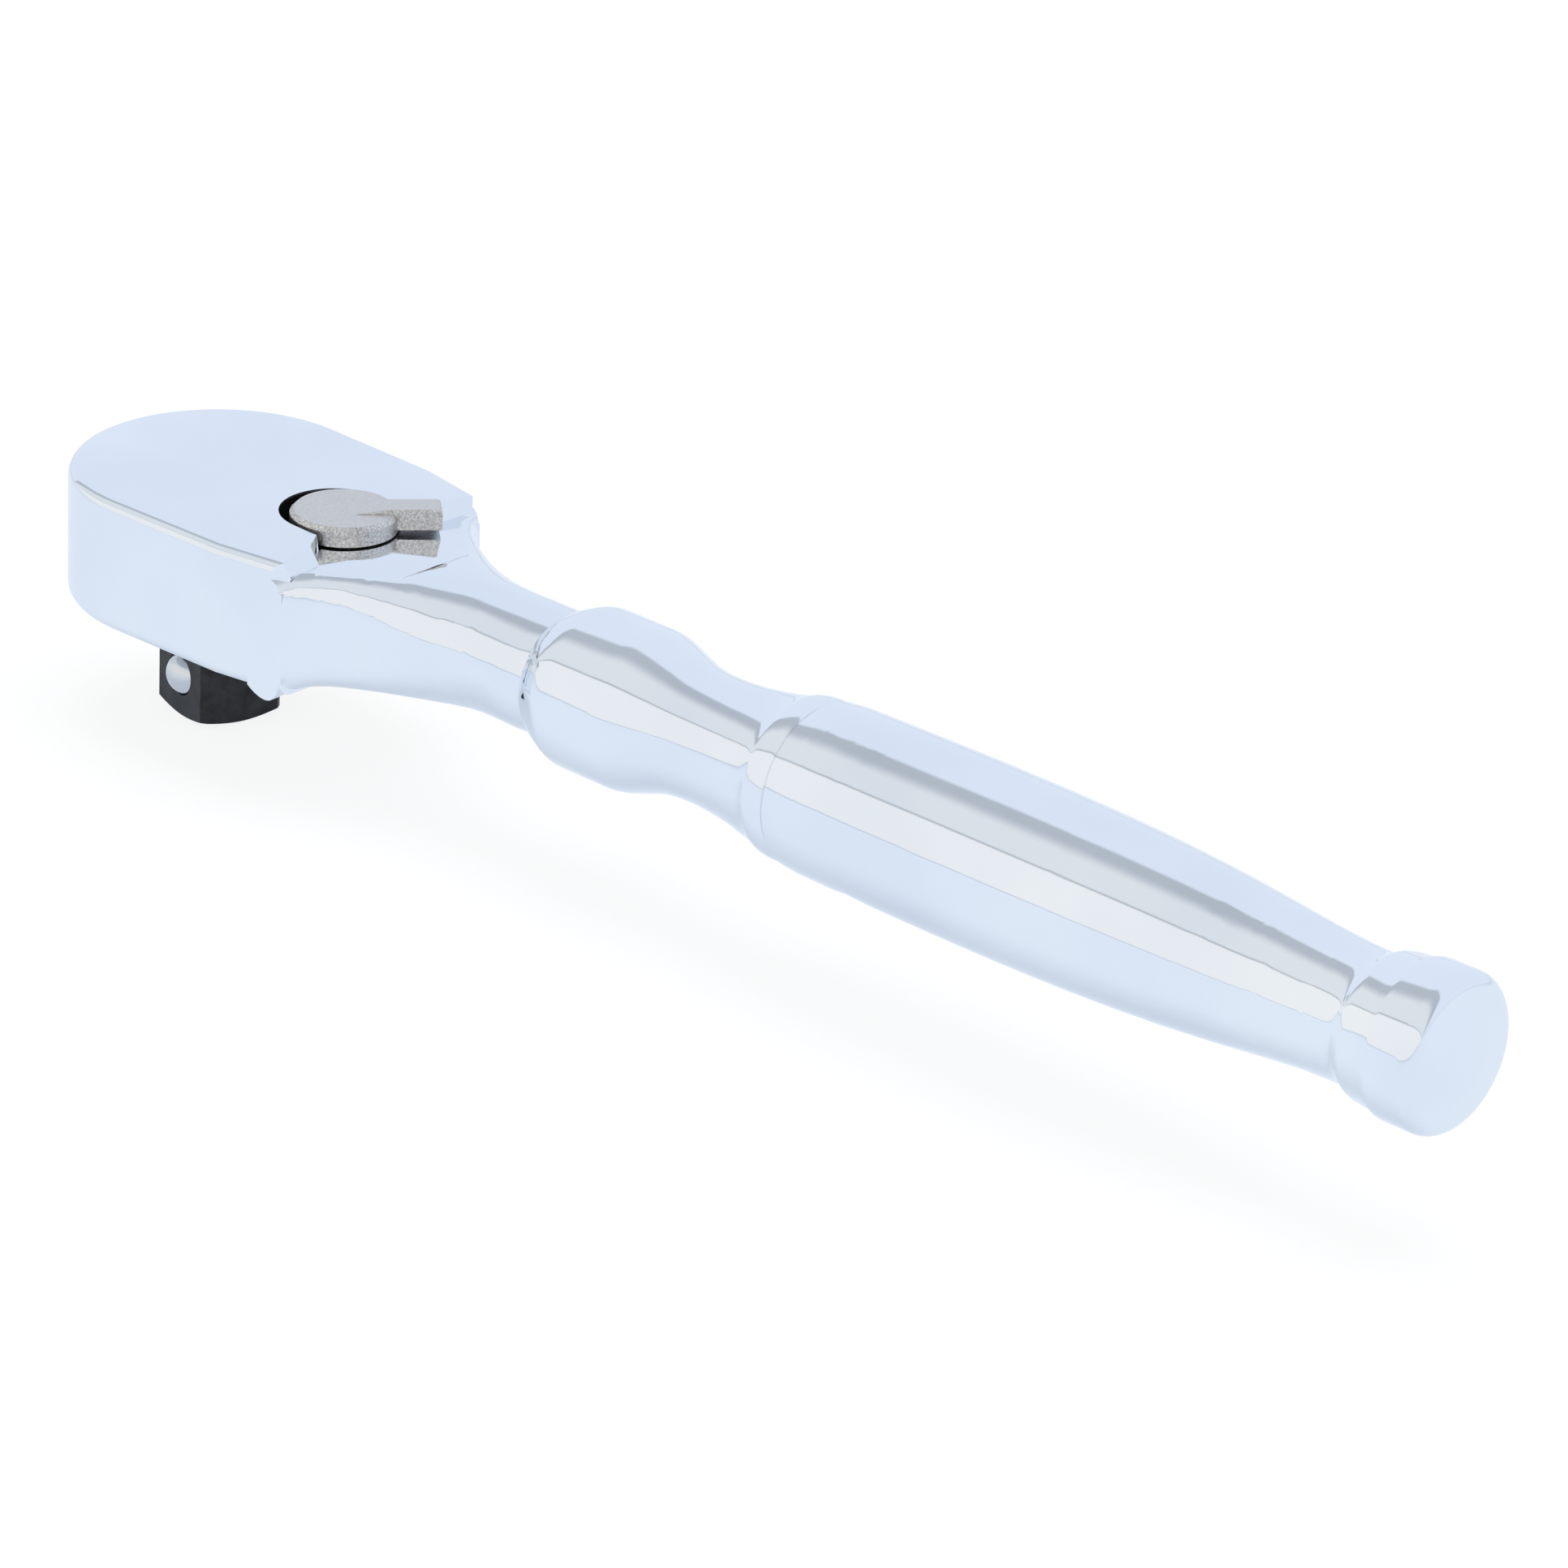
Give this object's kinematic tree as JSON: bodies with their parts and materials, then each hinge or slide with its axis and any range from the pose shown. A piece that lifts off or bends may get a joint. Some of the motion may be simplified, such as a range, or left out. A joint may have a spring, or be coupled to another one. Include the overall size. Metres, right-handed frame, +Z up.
{
  "type": "ratchet wrench",
  "caption": "Pocket ratchet wrench in polished chrome: sealed round head with a flip lever on top, a square drive with a locking ball below, and a round contoured handle ending in a knob.",
  "frame": {"origin": "on the drive axis, level with the tip of the drive square", "axes": "+X from the drive axis along the handle to the knob, +Z up through the head away from the square"},
  "size_m": [0.1778, 0.0314, 0.0285],
  "materials": {
    "chrome_forging": "mirror polished chrome plate",
    "black_oxide_steel": "black oxide, satin",
    "nitrile_rubber": "matt black",
    "spring_steel": "drawn, bare",
    "polished_ball": "polished hardened steel",
    "cast_nickel": "satin nickel over a fine cast grain",
    "satin_plate": "satin chrome plate"
  },
  "bodies": {
    "handle": {"body_forging": "chrome_forging", "cover_plate": "satin_plate", "cover_gasket": "nitrile_rubber", "cover_screws": "black_oxide_steel", "drive_seal": "nitrile_rubber", "thrust_washer": "spring_steel", "pawl_pin": "spring_steel"},
    "drive": {"drive_gear": "black_oxide_steel", "drag_ring": "nitrile_rubber", "drive_ball_spring": "spring_steel"},
    "ball": {"drive_ball": "polished_ball"},
    "pawl": {"pawl": "black_oxide_steel"},
    "selector": {"selector_lever": "cast_nickel", "lever_clip": "spring_steel", "lever_oring": "nitrile_rubber", "plunger_spring": "spring_steel"},
    "plunger": {"selector_plunger": "polished_ball"}
  },
  "joints": [
    {"name": "drive_spin", "type": "hinge", "parent": "handle", "child": "drive", "pos_m": [0, 0, 0.0188], "axis": [0, 0, 1], "continuous": true},
    {"name": "selector_swing", "type": "hinge", "parent": "handle", "child": "selector", "pos_m": [0.018, 0, 0.023], "axis": [0, 0, 1], "range_deg": [-98, 0]},
    {"name": "pawl_rock", "type": "hinge", "parent": "handle", "child": "pawl", "pos_m": [0.0124, 0, 0.018], "axis": [0, 0, 1], "range_deg": [0, 10.02]},
    {"name": "drive_ball_press", "type": "slide", "parent": "drive", "child": "ball", "axis": [0.2215, 0.9751, 0], "range_m": [0, 0.0013], "stiffness_N_per_m": 800, "springref_m": -0.0008, "deforming": ["drive_ball_spring"]},
    {"name": "plunger_press", "type": "slide", "parent": "selector", "child": "plunger", "axis": [0.6561, 0.7547, 0], "range_m": [0, 0.0005], "stiffness_N_per_m": 500, "springref_m": -0.0008, "deforming": ["plunger_spring"]}
  ],
  "couplings": [
    {"joint": "pawl_rock", "follows": "selector_swing", "ratio": -0.10204}
  ]
}
